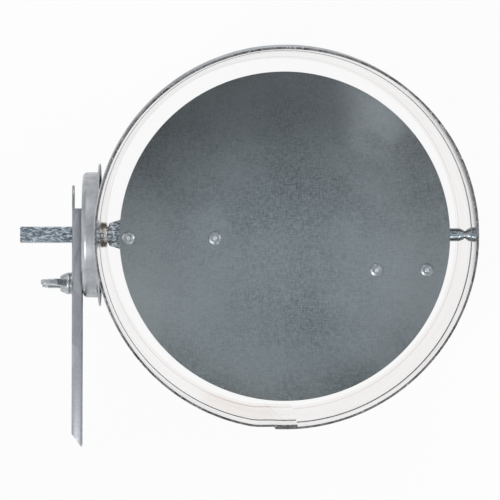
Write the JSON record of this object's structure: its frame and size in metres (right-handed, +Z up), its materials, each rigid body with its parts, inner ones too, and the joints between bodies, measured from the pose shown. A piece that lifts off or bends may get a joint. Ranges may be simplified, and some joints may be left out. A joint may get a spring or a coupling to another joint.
{
  "type": "round duct damper",
  "caption": "Round volume damper: a beaded sheet sleeve with a disc blade on a square bar, turned by a lever on a stand-off pan and clamped by a wing nut.",
  "frame": {"origin": "centre of the duct at its lower rim", "axes": "+Z up along the duct, -X along the square bar towards the lever, -Y where the lever points when the blade is closed"},
  "size_m": [0.2823, 0.249, 0.2286],
  "materials": {
    "galvanised_sheet": "rolled galvanised sheet",
    "blade_sheet": "dull spangled galvanised sheet",
    "bar_steel": "speckled galvanised strip",
    "bush_steel": "bright zinc plate",
    "bearing_steel": "bright zinc plate",
    "pin_steel": "bright zinc plate",
    "spring_steel": "drawn spring wire",
    "rivet_body": "plain",
    "rivet_stem": "bright",
    "pan_sheet": "drawn galvanised sheet",
    "lever_sheet": "folded galvanised sheet",
    "bolt_steel": "zinc plate",
    "nut_steel": "zinc plated casting"
  },
  "bodies": {
    "sleeve_body": {"sleeve": "galvanised_sheet", "bar_bushing": "bush_steel", "dial_pan": "pan_sheet", "pan_rivet_a": "rivet_body", "pan_rivet_b": "rivet_body", "pan_stem_a": "rivet_stem", "pan_stem_b": "rivet_stem"},
    "blade_body": {"blade": "blade_sheet", "square_bar": "bar_steel", "spring_housing": "bearing_steel", "pin_spring": "spring_steel", "tail_rivet_a": "rivet_body", "tail_rivet_b": "rivet_body", "plate_rivet_a": "rivet_body", "plate_rivet_b": "rivet_body", "tail_stem_a": "rivet_stem", "tail_stem_b": "rivet_stem", "plate_stem_a": "rivet_stem", "plate_stem_b": "rivet_stem", "lever": "lever_sheet", "clamp_bolt": "bolt_steel", "bolt_washer": "bolt_steel"},
    "pin_body": {"pivot_pin": "pin_steel"},
    "nut_body": {"wing_nut": "nut_steel"}
  },
  "joints": [
    {"name": "blade_turn", "type": "hinge", "parent": "sleeve_body", "child": "blade_body", "pos_m": [0, 0, 0.1143], "axis": [-1, 0, 0], "range_deg": [-6, 84]},
    {"name": "pin_retract", "type": "slide", "parent": "blade_body", "child": "pin_body", "axis": [-1, 0, 0], "range_m": [0, 0.006], "stiffness_N_per_m": 500, "springref_m": -0.008, "deforming": ["pin_spring"]},
    {"name": "wing_nut_turn", "type": "hinge", "parent": "blade_body", "child": "nut_body", "pos_m": [-0.135, -0.03023, 0.11748], "axis": [-1, 0, 0], "continuous": true}
  ]
}
